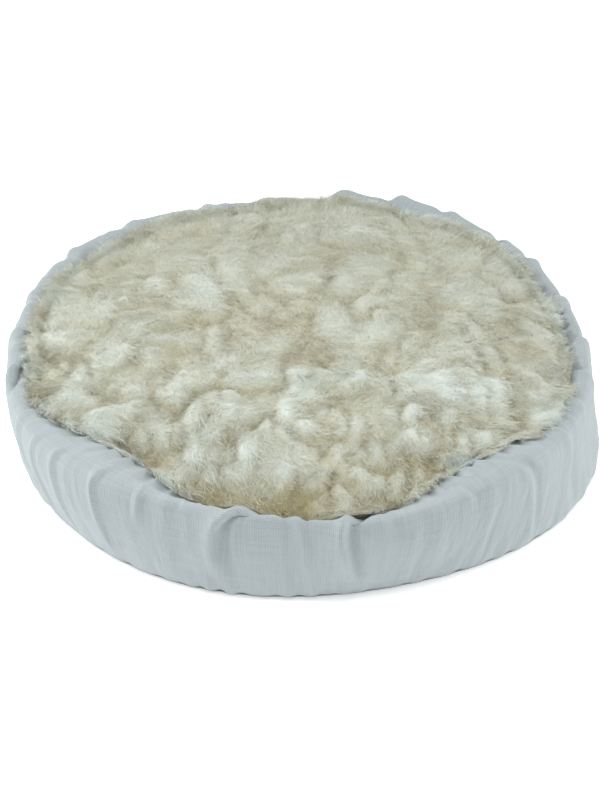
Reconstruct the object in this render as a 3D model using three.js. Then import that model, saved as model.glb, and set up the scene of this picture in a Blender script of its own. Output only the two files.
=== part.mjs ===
// Round pet cushion bed: a sewn bed shell with a padded, outward-leaning rim and an
// elasticated hem, and a loose cushion with a long-pile fleece top and a zipped cover.
// Millimetres, +Z up, the origin at the centre of the underside, the front at -Y.

import * as THREE from 'three';

// ---------------------------------------------------------------- driving dimensions

const RING_STEPS = 48;
const AIR = 0.3;

const bed = {
  height: 90,
  baseRadius: 236,
  crestRadius: 249,
  crestRoundRadius: 10.5,
  crestSweep: 122,
  wallBow: 12,
  wallBowHeight: 34,
  pocketRadius: 209,
  liningWall: 0.8,
  liningLean: 3,
  wallSteps: 4,
  crestSteps: 3,
};

const cloth = { thickness: 1 };

const floor = { wadding: 8, panelRadius: bed.baseRadius - 1.6 };

const hem = {
  top: 76.5,
  depth: 8,
  width: 5.4,
  wall: 0.8,
  overlap: 1.2,
  liningGap: 2,
  elasticWidth: 5.4,
  elasticThickness: 1.6,
};

const thread = { radius: 0.35 };

const cushion = {
  radius: 205.5,
  bottom: 11.9,
  shoulder: 58,
  crown: 27,
  pile: 14,
  pileOverhang: 0.8,
  bandWall: 0.9,
  seamInset: 0.5,
  domeSteps: 5,
  domeFullness: 2.4,
  domeShoulder: 0.6,
};

const insert = { wall: 0.6, sideGap: 0.5, crownDrop: 1, fillingDrop: 2, underDrop: 1.6, overDrop: 0.8 };

const zip = {
  length: 320,
  tapeWidth: 13,
  tapeThickness: 0.5,
  coilWidth: 1.9,
  coilThickness: 0.8,
  slotHalf: 4.2,
  spineGap: 0.7,
  sliderLength: 9,
  sliderWidth: 7.2,
  sliderPlate: 0.5,
  stopLength: 3,
  stopInset: 2,
  tapeOverrun: 4,
  mouthOverrun: 3,
  coilInset: 0.2,
  sliderTravel: 296,
};

// ---------------------------------------------------------------- finishes

const finish = {
  linen: { color: 0xcdd8da, roughness: 0.9 },
  lining: { color: 0xd8dcd8, roughness: 0.92 },
  base: { color: 0xb9bec0, roughness: 0.9 },
  wadding: { color: 0xf2f2ee, roughness: 1 },
  elastic: { color: 0xf0f0ee, roughness: 0.7 },
  thread: { color: 0xe6e8e6, roughness: 0.7 },
  fleece: { color: 0xe0dcc6, roughness: 1 },
  knit: { color: 0xd2cbb2, roughness: 0.95 },
  nylon: { color: 0xd9dddc, roughness: 0.45 },
  zinc: { color: 0xb9bdc0, roughness: 0.35, metalness: 1 },
};

const group = new THREE.Group();

function addPart(name, geometry, look) {
  const material = new THREE.MeshStandardMaterial({ metalness: 0, ...look });
  const mesh = new THREE.Mesh(geometry, material);
  mesh.name = name;
  group.add(mesh);
  return mesh;
}

// ---------------------------------------------------------------- shape helpers

// A ring or disc turned about +Z. The outline is a list of (radius, height) points that
// runs counter-clockwise, and closes on itself unless it starts and ends on the axis.
function turned(outline) {
  const onAxis = outline[0].x === 0 && outline.at(-1).x === 0;
  const points = onAxis ? outline : [...outline, outline[0]];
  const geometry = new THREE.LatheGeometry(points, RING_STEPS);
  return geometry.rotateX(Math.PI / 2);
}

function at(radius, height) {
  return new THREE.Vector2(radius, height);
}

// Moves each point of an open line to its left by a distance, along the mean normal of
// the two stretches that meet there.
function offsetLine(points, distance) {
  return points.map((point, i) => {
    const before = points[Math.max(i - 1, 0)];
    const after = points[Math.min(i + 1, points.length - 1)];
    const along = new THREE.Vector2().subVectors(after, before).normalize();
    return at(point.x - along.y * distance, point.y + along.x * distance);
  });
}

// A strip of cloth that follows a line, with its thickness on the line's left.
function stripAlong(points, thickness) {
  return [...points, ...offsetLine(points, thickness).reverse()];
}

// A thin ring of sewing thread, four-sided in section.
function threadRing(radius, height) {
  const r = thread.radius;
  return turned([
    at(radius, height - r), at(radius + r, height), at(radius, height + r), at(radius - r, height),
  ]);
}

function disc(radius, low, high) {
  return turned([at(0, low), at(radius, low), at(radius, high), at(0, high)]);
}

// A box between two corners.
function block(low, high) {
  const size = new THREE.Vector3().subVectors(high, low);
  const centre = new THREE.Vector3().addVectors(high, low).multiplyScalar(0.5);
  return new THREE.BoxGeometry(size.x, size.y, size.z).translate(centre.x, centre.y, centre.z);
}

// ---------------------------------------------------------------- bed shell

const panelTop = cloth.thickness;
const waddingBase = panelTop + AIR;
const waddingTop = waddingBase + floor.wadding;
const liningTop = waddingTop + AIR + cloth.thickness;

// The floor is a woven panel on the ground, a sheet of wadding and a lining over it.
function makeFloor() {
  addPart('base_panel', disc(floor.panelRadius, 0, panelTop), finish.base);
  addPart('base_wadding', disc(bed.pocketRadius - AIR, waddingBase, waddingTop), finish.wadding);
  addPart('floor_lining', disc(bed.pocketRadius - AIR, waddingTop + AIR, liningTop), finish.lining);
  const seamRadius = floor.panelRadius + 2 * thread.radius + AIR;
  addPart('base_seam_thread', threadRing(seamRadius, panelTop - thread.radius), finish.thread);
}

// The rim's outside in section: up from the base seam, leaning outwards, round the crest
// and down the inner slope to the hem.
function rimLine() {
  const crestCentre = at(bed.crestRadius - bed.crestRoundRadius, bed.height - bed.crestRoundRadius);
  const slopeStart = THREE.MathUtils.degToRad(bed.crestSweep);
  const line = new THREE.Path();
  line.moveTo(bed.baseRadius, panelTop + 2 * AIR);
  line.quadraticCurveTo(bed.baseRadius + bed.wallBow, bed.wallBowHeight, bed.crestRadius, crestCentre.y);
  const wall = line.getPoints(bed.wallSteps);
  const crest = new THREE.Path();
  crest.absarc(crestCentre.x, crestCentre.y, bed.crestRoundRadius, 0, slopeStart, false);
  const round = crest.getPoints(bed.crestSteps).slice(1);
  return [...wall, ...round, at(bed.pocketRadius + hem.width + 2 * AIR, hem.top)];
}

function makeRim() {
  const outside = rimLine();
  addPart('rim_cover', turned(stripAlong(outside, cloth.thickness)), finish.linen);

  const liningFoot = at(bed.pocketRadius, panelTop + AIR);
  const liningHead = at(bed.pocketRadius + bed.liningLean, hem.top - hem.depth - hem.liningGap);
  const lining = [
    liningFoot, at(liningFoot.x + bed.liningWall, liningFoot.y),
    at(liningHead.x + bed.liningWall, liningHead.y), liningHead,
  ];
  addPart('rim_lining', turned(lining), finish.lining);

  const clear = cloth.thickness + AIR;
  const padding = offsetLine(outside, clear + AIR / 3);
  padding[0] = at(padding[0].x, panelTop + 2 * AIR);
  const inner = [
    at(liningHead.x + clear + cloth.thickness, liningHead.y),
    at(liningFoot.x + clear, panelTop + 2 * AIR),
  ];
  addPart('rim_filling', turned([...padding, ...inner]), finish.wadding);
}

// The hem is turned over into a casing, open below, that holds a flat elastic.
function makeHem() {
  const inside = bed.pocketRadius - hem.overlap;
  const outside = inside + hem.width;
  const low = hem.top - hem.depth;
  const roof = hem.top - hem.wall;
  const casing = [
    at(inside, low), at(inside + hem.wall, low), at(inside + hem.wall, roof),
    at(outside - hem.wall, roof), at(outside - hem.wall, low), at(outside, low),
    at(outside, hem.top), at(inside, hem.top),
  ];
  addPart('hem_casing', turned(casing), finish.linen);

  const middle = (inside + outside) / 2;
  const half = hem.elasticThickness / 2;
  const elasticLow = roof - AIR - hem.elasticWidth;
  const elastic = [
    at(middle - half, elasticLow), at(middle + half, elasticLow),
    at(middle + half, roof - AIR), at(middle - half, roof - AIR),
  ];
  addPart('rim_elastic', turned(elastic), finish.elastic);
  addPart('hem_stitching', threadRing(middle, low), finish.thread);
}

// ---------------------------------------------------------------- cushion

// Height of a domed layer over its edge: full in the middle, round at the shoulder.
function domeRise(radius, edgeRadius, rise) {
  const share = Math.min(radius / edgeRadius, 1);
  return rise * Math.pow(1 - Math.pow(share, cushion.domeFullness), cushion.domeShoulder);
}

// A dome from its edge to the axis, with closer steps towards the edge.
function domeLine(edgeRadius, edgeHeight, rise) {
  const steps = cushion.domeSteps;
  return Array.from({ length: steps + 1 }, (_, i) => {
    const radius = i === steps ? 0 : edgeRadius * Math.cos((i / steps) * (Math.PI / 2));
    return at(radius, edgeHeight + domeRise(radius, edgeRadius, rise));
  });
}

// A domed sheet between a lower dome and the same dome raised by its thickness.
function domedSheet(edgeRadius, edgeHeight, rise, thickness) {
  const lower = domeLine(edgeRadius, edgeHeight, rise).reverse();
  const upper = domeLine(edgeRadius, edgeHeight + thickness, rise);
  return turned([...lower, ...upper]);
}

// Half of the cushion's underside: a half disc whose straight edge steps back along the
// zip. side is -1 for the front half and +1 for the back half.
function undersideHalf(side) {
  const radius = cushion.radius - AIR;
  const seam = AIR / 2;
  const mouth = zip.length / 2 + zip.mouthOverrun;
  const sweep = Math.asin(seam / radius);
  const outline = new THREE.Shape();
  outline.absarc(0, 0, radius, sweep, Math.PI - sweep, false);
  outline.lineTo(-mouth, seam);
  outline.lineTo(-mouth, zip.slotHalf);
  outline.lineTo(mouth, zip.slotHalf);
  outline.lineTo(mouth, seam);
  const panel = new THREE.ExtrudeGeometry(outline, {
    depth: cloth.thickness, bevelEnabled: false, curveSegments: RING_STEPS / 2,
  });
  if (side < 0) panel.rotateZ(Math.PI);
  return panel.translate(0, 0, cushion.bottom);
}

function makeCushionCover() {
  const top = cushion.bottom + cloth.thickness;
  addPart('underside_front', undersideHalf(-1), finish.lining);
  addPart('underside_back', undersideHalf(1), finish.lining);
  const outside = cushion.radius;
  const inside = outside - cushion.bandWall;
  const band = [
    at(inside, top + AIR), at(outside, top + AIR),
    at(outside, cushion.shoulder), at(inside, cushion.shoulder),
  ];
  addPart('cushion_side_band', turned(band), finish.linen);
  const seam = threadRing(outside - cushion.seamInset, cushion.shoulder + AIR + thread.radius);
  addPart('cushion_seam_thread', seam, finish.thread);
}

// The inner pad: two panels of non-woven case round a fibre filling.
function makeInsert() {
  const radius = cushion.radius - cushion.bandWall - insert.sideGap;
  const low = zipTop() + 2 * AIR;
  const joint = (low + cushion.shoulder) / 2;
  const lower = [
    at(0, low), at(radius, low), at(radius, joint), at(radius - insert.wall, joint),
    at(radius - insert.wall, low + insert.wall), at(0, low + insert.wall),
  ];
  addPart('insert_case_lower', turned(lower), finish.lining);

  const fillRadius = radius - insert.wall - AIR;
  const fillLow = low + insert.wall + AIR;
  const crown = cushion.crown - insert.crownDrop;
  const dome = domeLine(fillRadius, cushion.shoulder - insert.fillingDrop, crown);
  addPart('insert_filling', turned([at(0, fillLow), at(fillRadius, fillLow), ...dome]), finish.wadding);

  const underDome = domeLine(fillRadius + AIR, cushion.shoulder - insert.underDrop, crown).reverse();
  const overDome = domeLine(radius, cushion.shoulder - insert.overDrop, crown);
  const upper = [...underDome, at(radius - insert.wall, joint + AIR), at(radius, joint + AIR), ...overDome];
  addPart('insert_case_upper', turned(upper), finish.lining);
}

// The fleece top: a knitted backing that carries the long pile.
function makeFleece() {
  const edge = cushion.shoulder + 2 * AIR + 2 * thread.radius;
  addPart('fleece_backing', domedSheet(cushion.radius, edge, cushion.crown, cloth.thickness), finish.knit);
  const root = edge + cloth.thickness + AIR;
  const pileRadius = cushion.radius + cushion.pileOverhang;
  addPart('fleece_pile', domedSheet(pileRadius, root, cushion.crown, cushion.pile), finish.fleece);
}

// ---------------------------------------------------------------- zip

function coilBottom() {
  return cushion.bottom + zip.coilInset;
}

function tapeBottom() {
  return cushion.bottom + cloth.thickness + AIR;
}

function zipTop() {
  return tapeBottom() + zip.tapeThickness + AIR + zip.sliderPlate;
}

// One half of the zip along X: the woven tape and the coil along its edge.
function makeZipSide(label, side) {
  const half = zip.length / 2;
  const strip = (width, low, thickness, reach) => {
    const near = side * zip.spineGap;
    const far = side * (zip.spineGap + width);
    return block(
      new THREE.Vector3(-reach, Math.min(near, far), low),
      new THREE.Vector3(reach, Math.max(near, far), low + thickness),
    );
  };
  const tape = strip(zip.tapeWidth, tapeBottom(), zip.tapeThickness, half + zip.tapeOverrun);
  addPart(`zip_tape_${label}`, tape, finish.nylon);
  const coilEnd = half - zip.stopLength - zip.stopInset;
  const coil = strip(zip.coilWidth, coilBottom(), zip.coilThickness, coilEnd);
  addPart(`zip_coil_${label}`, coil, finish.nylon);
}

function makeZipStop(label, side) {
  const near = zip.length / 2 - zip.stopLength - zip.stopInset + AIR;
  const width = zip.spineGap + zip.coilWidth;
  const low = Math.min(side * near, side * (near + zip.stopLength));
  const stop = block(
    new THREE.Vector3(low, -width, coilBottom()),
    new THREE.Vector3(low + zip.stopLength, width, coilBottom() + zip.coilThickness),
  );
  addPart(`zip_stop_${label}`, stop, finish.zinc);
}

// The slider: two plates, one on each side of the coils, joined by a thin spine between
// them. Its plan narrows towards the open side.
function makeZipSlider() {
  const half = zip.sliderWidth / 2;
  const spine = zip.spineGap / 2;
  const lowPlate = coilBottom() - AIR - zip.sliderPlate;
  const highPlate = tapeBottom() + zip.tapeThickness + AIR;
  const section = new THREE.Shape();
  section.moveTo(-half, lowPlate);
  section.lineTo(half, lowPlate);
  section.lineTo(half, lowPlate + zip.sliderPlate);
  section.lineTo(spine, lowPlate + zip.sliderPlate);
  section.lineTo(spine, highPlate);
  section.lineTo(half, highPlate);
  section.lineTo(half, highPlate + zip.sliderPlate);
  section.lineTo(-half, highPlate + zip.sliderPlate);
  section.lineTo(-half, highPlate);
  section.lineTo(-spine, highPlate);
  section.lineTo(-spine, lowPlate + zip.sliderPlate);
  section.lineTo(-half, lowPlate + zip.sliderPlate);
  const slider = new THREE.ExtrudeGeometry(section, { depth: zip.sliderLength, bevelEnabled: false });
  slider.rotateX(Math.PI / 2).rotateZ(Math.PI / 2);
  const closedAt = zip.sliderTravel / 2;
  slider.translate(closedAt - zip.sliderLength / 2, 0, 0);
  addPart('zip_slider', slider, finish.zinc);
}

makeFloor();
makeRim();
makeHem();
makeCushionCover();
makeInsert();
makeFleece();
makeZipSide('front', -1);
makeZipSide('back', 1);
makeZipStop('closed', 1);
makeZipStop('open', -1);
makeZipSlider();

export default group;
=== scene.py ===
"""Woven pet bed with a gathered rim and a loose fleece cushion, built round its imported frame."""

import math

import bmesh
import bpy
import numpy as np
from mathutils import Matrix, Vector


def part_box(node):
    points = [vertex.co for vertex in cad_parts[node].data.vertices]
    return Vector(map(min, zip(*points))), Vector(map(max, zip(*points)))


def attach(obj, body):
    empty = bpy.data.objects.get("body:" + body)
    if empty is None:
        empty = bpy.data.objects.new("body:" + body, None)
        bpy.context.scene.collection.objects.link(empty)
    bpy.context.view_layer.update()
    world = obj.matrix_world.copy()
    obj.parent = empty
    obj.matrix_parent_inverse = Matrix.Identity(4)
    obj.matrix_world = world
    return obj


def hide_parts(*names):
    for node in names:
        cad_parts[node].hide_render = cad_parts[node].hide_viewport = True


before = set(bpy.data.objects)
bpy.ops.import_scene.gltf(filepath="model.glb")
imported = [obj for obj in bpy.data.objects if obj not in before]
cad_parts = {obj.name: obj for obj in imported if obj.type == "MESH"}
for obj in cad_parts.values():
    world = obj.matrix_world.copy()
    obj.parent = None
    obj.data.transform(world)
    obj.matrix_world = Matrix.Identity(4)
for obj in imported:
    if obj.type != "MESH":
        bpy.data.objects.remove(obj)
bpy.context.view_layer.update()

bl_info = {
    "name": "Woven pet bed",
    "version": (1, 0, 0),
    "blender": (4, 5, 0),
    "location": "3D View > Sidebar > Pet bed",
    "description": "Sews the rim, floor and fleece cushion of a round pet bed",
    "category": "Add Mesh",
}

MM = 0.001
TURN = 2 * math.pi


def box_mm(node):
    """Lowest and highest corner of a frame node, in millimetres."""
    low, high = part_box(node)
    return np.array(low) / MM, np.array(high) / MM


RIM_HIGH = box_mm("rim_cover")[1]
PANEL_HIGH = box_mm("base_panel")[1]
HEM_HIGH = box_mm("hem_casing")[1]
FLOOR_LOW, FLOOR_HIGH = box_mm("floor_lining")
WALL_LOW, WALL_HIGH = box_mm("cushion_side_band")
PILE_LOW, PILE_HIGH = box_mm("fleece_pile")
COIL_LOW, COIL_HIGH = box_mm("zip_coil_back")


# ------------------------------------------------------------------ settings


def length_setting(label, words, value, least=-1000.0):
    """A size in millimetres."""
    return bpy.props.FloatProperty(
        name=label, description=words + ", mm", default=float(value), min=least)


def count_setting(label, words, value, least):
    """A whole number of things."""
    return bpy.props.IntProperty(name=label, description=words, default=value, min=least)


class RimSizes(bpy.types.PropertyGroup):
    """Sizes of the padded rim, in millimetres."""

    crest_radius: length_setting("Crest radius", "Mean radius of the rim's outermost line", RIM_HIGH[0])
    base_radius: length_setting("Base radius", "Mean radius of the base seam", PANEL_HIGH[0] + 2.2)
    height: length_setting("Rim height", "Height of the crest over the floor", RIM_HIGH[2])
    hem_radius: length_setting("Hem radius", "Radius of the gathered hem", HEM_HIGH[0] + 0.6)
    hem_height: length_setting("Hem height", "Height of the hem over the floor", HEM_HIGH[2])
    pleats: count_setting("Hem pleats", "Number of small pleats that the elastic draws in", 92, 8)
    thread_pitch: length_setting("Thread pitch", "Distance between two threads of the weave", 1.35, 0.2)
    cloth_thickness: length_setting("Cloth thickness", "Thickness of the rim cloth", 0.8, 0.1)


class FleeceSizes(bpy.types.PropertyGroup):
    """Sizes of the fleece on the cushion, in millimetres."""

    radius: length_setting("Fleece radius", "Radius of the fleece top", WALL_HIGH[0])
    edge_height: length_setting("Edge height", "Height of the fleece's sewn edge", PILE_LOW[2])
    crown: length_setting(
        "Crown", "Rise of the backing from its edge to its middle", PILE_HIGH[2] - PILE_LOW[2] - 16.0)
    top: length_setting(
        "Top height", "Height of the wool over the floor in the middle", PILE_HIGH[2] + 1.0)
    pile: length_setting("Pile length", "Length of a lock of wool", 19.0, 1.0)
    locks: count_setting("Locks", "Number of locks that the wool hangs together in", 620, 10)
    fibres: count_setting("Fibre strands", "Number of modelled strands of wool", 70000, 100)


def colour_setting(label, words, value):
    """A colour picker with its default as linear red, green and blue."""
    return bpy.props.FloatVectorProperty(
        name=label, description=words, subtype="COLOR", size=3, min=0, max=1, default=value)


class BedColours(bpy.types.PropertyGroup):
    """Colours of the cloth, the wool and the trimmings."""

    cloth: colour_setting("Rim cloth", "Cool white of the rim's plain weave", (0.50, 0.555, 0.565))
    cloth_gap: colour_setting("Weave gaps", "Darker tone between the threads", (0.24, 0.28, 0.29))
    lining: colour_setting("Lining cloth", "Natural white of the lining", (0.72, 0.74, 0.71))
    wadding: colour_setting("Wadding", "White of the fibre filling", (0.86, 0.86, 0.84))
    wool_root: colour_setting("Wool roots", "Beige of the wool near the backing", (0.52, 0.455, 0.25))
    wool_tip: colour_setting("Wool tips", "Creamy white of the wool's tips", (0.89, 0.95, 0.88))
    elastic: colour_setting("Elastic", "White of the braided elastic", (0.82, 0.82, 0.80))
    thread: colour_setting("Thread", "White of the sewing thread", (0.80, 0.83, 0.83))
    nylon: colour_setting("Zip nylon", "White of the zip's tape and teeth", (0.76, 0.79, 0.79))
    metal: colour_setting("Zip metal", "Grey of the zip's slider and stops", (0.62, 0.64, 0.66))


# ------------------------------------------------------------------ shape maths


def wave(angle, order, size, peak):
    """A cosine round the bed: size times the cosine of order times the degrees from its peak."""
    return size * np.cos(order * (angle - math.radians(peak)))


def turn_from(angle, place):
    """Angle from a place in degrees, wrapped to half a turn each way."""
    return (angle - np.radians(place) + math.pi) % TURN - math.pi


def bump(angle, place, width):
    """A bell, 1 at a place in degrees, that falls off over a width in degrees: exp(-(x / width)^2)."""
    return np.exp(-(turn_from(angle, place) / math.radians(width)) ** 2)


def smooth(low, high, value):
    """A smooth step from 0 at low to 1 at high: 3t^2 - 2t^3."""
    t = np.clip((value - low) / (high - low), 0, 1)
    return t * t * (3 - 2 * t)


def spline_weights(count, steps, degree=3):
    """Weights of a clamped B-spline's control points at even places, by the Cox-de Boor rule."""
    knots = np.concatenate([np.zeros(degree), np.linspace(0, 1, count - degree + 1), np.ones(degree)])
    t = np.linspace(0, 1, steps)[:, None]
    weights = ((t >= knots[:-1]) & (t < knots[1:])).astype(float)
    weights[-1, count - 1] = 1
    for p in range(1, degree + 1):
        left = knots[p:-1] - knots[:-p - 1]
        right = knots[p + 1:] - knots[1:-p]
        rise = np.where(left > 0, (t - knots[:-p - 1]) / np.where(left > 0, left, 1), 0)
        fall = np.where(right > 0, (knots[p + 1:] - t) / np.where(right > 0, right, 1), 0)
        weights = rise * weights[:, :-1] + fall * weights[:, 1:]
    return weights[:, :count]


def hashed(values, seed):
    """Even pseudo-random numbers from 0 to 1 for whole numbers, from the fraction of a large sine."""
    return np.modf(np.abs(np.sin(values * 12.9898 + seed * 78.233) * 43758.5453))[0]


def value_noise(x, y, seed):
    """Smooth noise from -1 to 1: hashed values at whole-number corners, blended by smooth steps."""
    left, low = np.floor(x), np.floor(y)
    s, t = smooth(0, 1, x - left), smooth(0, 1, y - low)
    corner = [[hashed(left + i + 57.0 * (low + j), seed) for i in (0, 1)] for j in (0, 1)]
    bottom = corner[0][0] * (1 - s) + corner[0][1] * s
    top = corner[1][0] * (1 - s) + corner[1][1] * s
    return 2 * (bottom * (1 - t) + top * t) - 1


def layered_noise(x, y, seed, layers=3):
    """Value noise in layers, each twice as fine and half as strong as the last."""
    return sum(value_noise(x * 2 ** k, y * 2 ** k, seed + k) / 2 ** k for k in range(layers))


def normals_of(rows):
    """Unit normals of a ring grid, from the cross product of its two directions."""
    around = np.roll(rows, -1, axis=1) - np.roll(rows, 1, axis=1)
    along = np.gradient(rows, axis=0)
    cross = np.cross(around, along)
    return cross / np.maximum(np.linalg.norm(cross, axis=2, keepdims=True), 1e-9)


def ring_angles(count):
    """Even angles round the bed, from the front and counter-clockwise seen from above."""
    return np.arange(count) * TURN / count


def place_round(angle, radius, height):
    """Points at an angle from the front: x = r sin a, y = -r cos a."""
    radius, height, angle = np.broadcast_arrays(radius, height, angle)
    return np.stack([radius * np.sin(angle), -radius * np.cos(angle), height], axis=-1)


# ------------------------------------------------------------------ mesh making


def new_object(name, mesh):
    piece = bpy.data.objects.new(name, mesh)
    bpy.context.scene.collection.objects.link(piece)
    return piece


def mesh_from(name, points, faces):
    """A smooth mesh from points in millimetres and faces that all have as many corners."""
    mesh = bpy.data.meshes.new(name)
    corners = faces.shape[1]
    mesh.vertices.add(len(points))
    mesh.vertices.foreach_set("co", (points * MM).astype(np.float32).ravel())
    mesh.loops.add(faces.size)
    mesh.loops.foreach_set("vertex_index", faces.astype(np.int32).ravel())
    mesh.polygons.add(len(faces))
    mesh.polygons.foreach_set("loop_start", np.arange(0, faces.size, corners, dtype=np.int32))
    mesh.polygons.foreach_set("use_smooth", np.ones(len(faces), dtype=bool))
    mesh.update(calc_edges=True)
    return mesh


def enclosed_volume(points, faces):
    """Signed volume of a closed mesh: a sixth of the sum of a . (b x c) over its triangles."""
    a, b, c = points[faces[:, 0]], points[faces[:, 1]], points[faces[:, 2]]
    volume = np.einsum("ij,ij->", a, np.cross(b, c))
    if faces.shape[1] == 4:
        d = points[faces[:, 3]]
        volume += np.einsum("ij,ij->", a, np.cross(c, d))
    return volume / 6


def ring_faces(i, after_i, row, after_row):
    """Four-cornered faces between two rows of a ring grid, from their first points' numbers."""
    return np.stack([row + i, row + after_i, after_row + after_i, after_row + i], axis=-1)


def ring_surface(name, rows, pitch, loop=False):
    """A closed surface from a grid of points: rows go along the section, places go round the bed.

    With loop the last row joins the first, and otherwise the first and last rows lie on the axis, where
    their points are merged. pitch is the distance between two threads of the weave, in mm.
    """
    count, around = rows.shape[:2]
    j = np.arange(count if loop else count - 1)[:, None]
    i = np.arange(around)[None, :]
    after_j, after_i = (j + 1) % count, (i + 1) % around
    faces = ring_faces(i, after_i, j * around, after_j * around)
    row_threads, round_threads = thread_places(rows, pitch)
    v = np.broadcast_to(row_threads[j], faces.shape[:2])
    v_after = np.broadcast_to(row_threads[j + 1], faces.shape[:2])
    u = np.broadcast_to(round_threads[i], faces.shape[:2])
    u_after = np.broadcast_to(round_threads[i + 1], faces.shape[:2])
    corners = np.stack([u, v, u_after, v, u_after, v_after, u, v_after], axis=-1).reshape(-1, 4, 2)
    faces = faces.reshape(-1, 4)
    points = rows.reshape(-1, 3)
    if enclosed_volume(points, faces) < 0:
        faces, corners = faces[:, ::-1], corners[:, ::-1]
    mesh = mesh_from(name, points, faces)
    mesh.uv_layers.new(name="threads").uv.foreach_set("vector", corners.astype(np.float32).ravel())
    if not loop:
        close_poles(mesh, around)
    return new_object(name, mesh)


def close_poles(mesh, around):
    """Merges the first and the last ring of a turned mesh into one point each."""
    work = bmesh.new()
    work.from_mesh(mesh)
    work.verts.ensure_lookup_table()
    for ring in (work.verts[:around], work.verts[-around:]):
        bmesh.ops.remove_doubles(work, verts=ring, dist=0.01 * MM)
    work.to_mesh(mesh)
    work.free()


def thread_places(rows, pitch):
    """The weave's place on a grid: threads along each section, and threads round its middle row."""
    along = np.linalg.norm(np.diff(rows, axis=0, append=rows[:1]), axis=2).mean(axis=1)
    widest = np.linalg.norm(np.diff(rows, axis=1, append=rows[:, :1]), axis=2).sum(axis=1).max()
    row_threads = np.concatenate([[0], np.cumsum(along)]) / pitch
    round_threads = np.linspace(0, round(widest / pitch), rows.shape[1] + 1)
    return row_threads, round_threads


def softened(rows, reach):
    """A ring grid averaged over so many places to each side of every point."""
    return sum(np.roll(rows, k, axis=1) for k in range(-reach, reach + 1)) / (2 * reach + 1)


def folded_shell(rows, thickness):
    """A sheet with its other face: the grid, then the same grid moved inwards along its normals."""
    return np.concatenate([rows, (rows - normals_of(rows) * thickness)[::-1]])


def strands(name, paths, radii, sides=3):
    """Closed tapered strands along many paths at once.

    paths is strands by rings by xyz, and the last ring is the tip, a single point. Each other ring has
    its corners at even turns round the path, in the plane that the path's tangent leaves free.
    """
    count, rings = paths.shape[:2]
    tangent = np.gradient(paths, axis=1)
    tangent /= np.maximum(np.linalg.norm(tangent, axis=2, keepdims=True), 1e-9)
    guide = np.where(np.abs(tangent[..., 2:]) > 0.9, [1.0, 0, 0], [0, 0, 1.0])
    across = np.cross(tangent, guide)
    across /= np.maximum(np.linalg.norm(across, axis=2, keepdims=True), 1e-9)
    other = np.cross(tangent, across)
    turn = np.arange(sides) * TURN / sides
    spread = across[:, :-1, None] * np.cos(turn)[:, None] + other[:, :-1, None] * np.sin(turn)[:, None]
    walls = paths[:, :-1, None] + spread * radii[:, :-1, None, None]
    points = np.concatenate([walls.reshape(count, -1, 3), paths[:, -1:]], axis=1)
    k = np.arange(sides)
    after = (k + 1) % sides
    parts = []
    for ring in range(rings - 2):
        low, high = ring * sides, (ring + 1) * sides
        parts.append(np.stack([low + k, low + after, high + after], axis=1))
        parts.append(np.stack([low + k, high + after, high + k], axis=1))
    tip = (rings - 1) * sides
    last = tip - sides
    parts.append(np.stack([last + k, last + after, np.full(sides, tip)], axis=1))
    parts.append(np.stack([np.zeros(sides - 2, int), k[2:], k[1:-1]], axis=1))
    pattern = np.concatenate(parts)
    faces = (np.arange(count)[:, None, None] * points.shape[1] + pattern).reshape(-1, 3)
    flat = points.reshape(-1, 3)
    if enclosed_volume(flat, faces) < 0:
        faces = faces[:, ::-1]
    return new_object(name, mesh_from(name, flat, faces)), len(pattern)


# ------------------------------------------------------------------ shader maths


class Value:
    """A number in a material's node tree, so that shader maths reads as an expression."""

    def __init__(self, tree, socket):
        self.tree, self.socket = tree, socket

    def _math(self, operation, *others):
        node = self.tree.nodes.new("ShaderNodeMath")
        node.operation = operation
        for slot, value in zip(node.inputs, (self, *others)):
            plug(self.tree, slot, value)
        return Value(self.tree, node.outputs[0])

    def __add__(self, other):
        return self._math("ADD", other)

    def __mul__(self, other):
        return self._math("MULTIPLY", other)

    def __sub__(self, other):
        return self._math("SUBTRACT", other)

    def __rsub__(self, other):
        return (self * -1) + other

    __radd__ = __add__
    __rmul__ = __mul__

    def sine(self):
        return self._math("SINE")

    def size(self):
        return self._math("ABSOLUTE")

    def at_least(self, other):
        return self._math("MAXIMUM", other)


def plug(tree, slot, value):
    """Sets a socket to a number or a colour, or links it to a Value or another socket."""
    if isinstance(value, Value):
        tree.links.new(value.socket, slot)
    elif isinstance(value, bpy.types.NodeSocket):
        tree.links.new(value, slot)
    else:
        slot.default_value = value


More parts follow.
